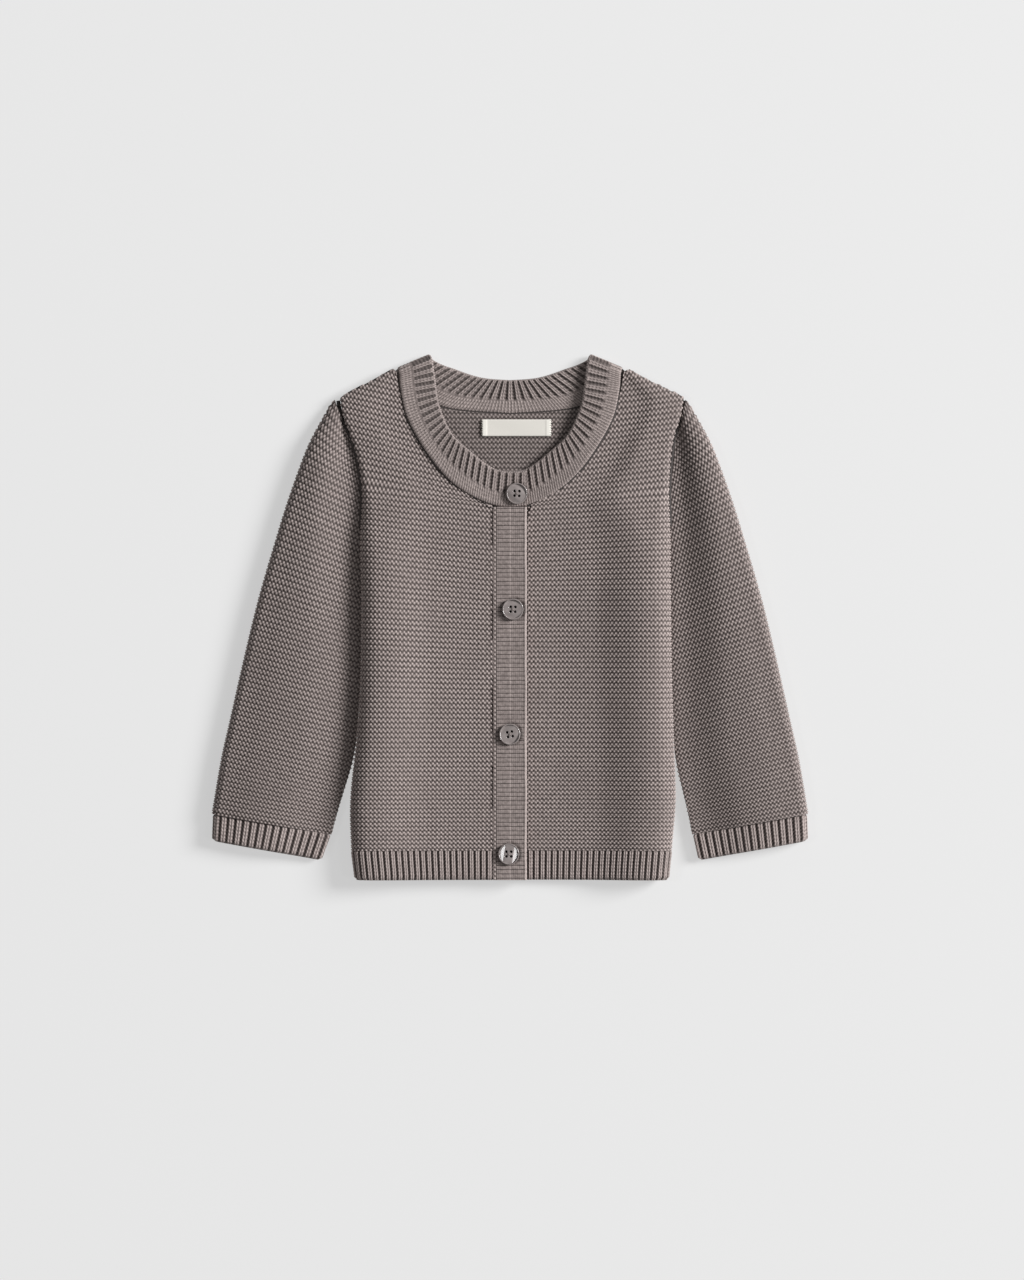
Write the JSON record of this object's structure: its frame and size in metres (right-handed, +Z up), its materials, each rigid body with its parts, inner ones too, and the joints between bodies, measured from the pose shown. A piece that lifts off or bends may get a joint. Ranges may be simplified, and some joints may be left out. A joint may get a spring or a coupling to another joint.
{
  "type": "baby cardigan",
  "caption": "Knitted long-sleeved baby cardigan, buttoned and laid flat on its back, with its sides folded under, ribbed neckband, cuffs and hem.",
  "frame": {"origin": "on the surface that the cardigan lies on, at the middle of its bounding box", "axes": "+Z up off the surface, +Y from the hem towards the neck, +X to the right seen from above, which is the wearer's left"},
  "size_m": [0.3332, 0.2942, 0.016],
  "materials": {
    "knit": "matt garter-stitch knit of grey-brown mouliné yarn",
    "rib": "matt ribbed knit of the same yarn",
    "label_tape": "plain woven tape, faint sheen, no lettering",
    "button_resin": "glossy grey-brown resin"
  },
  "bodies": {
    "root": {"back": "knit", "front_left": "knit", "front_right": "knit", "hem_rib_left": "rib", "hem_rib_right": "rib", "side_fold_left": "knit", "side_fold_right": "knit", "neckband": "rib", "button_band": "rib", "buttonhole_band": "rib", "sleeve_left": "knit", "sleeve_right": "knit", "cuff_left": "rib", "cuff_right": "rib", "label": "label_tape", "button_1": "button_resin", "button_2": "button_resin", "button_3": "button_resin", "button_4": "button_resin"}
  },
  "joints": []
}
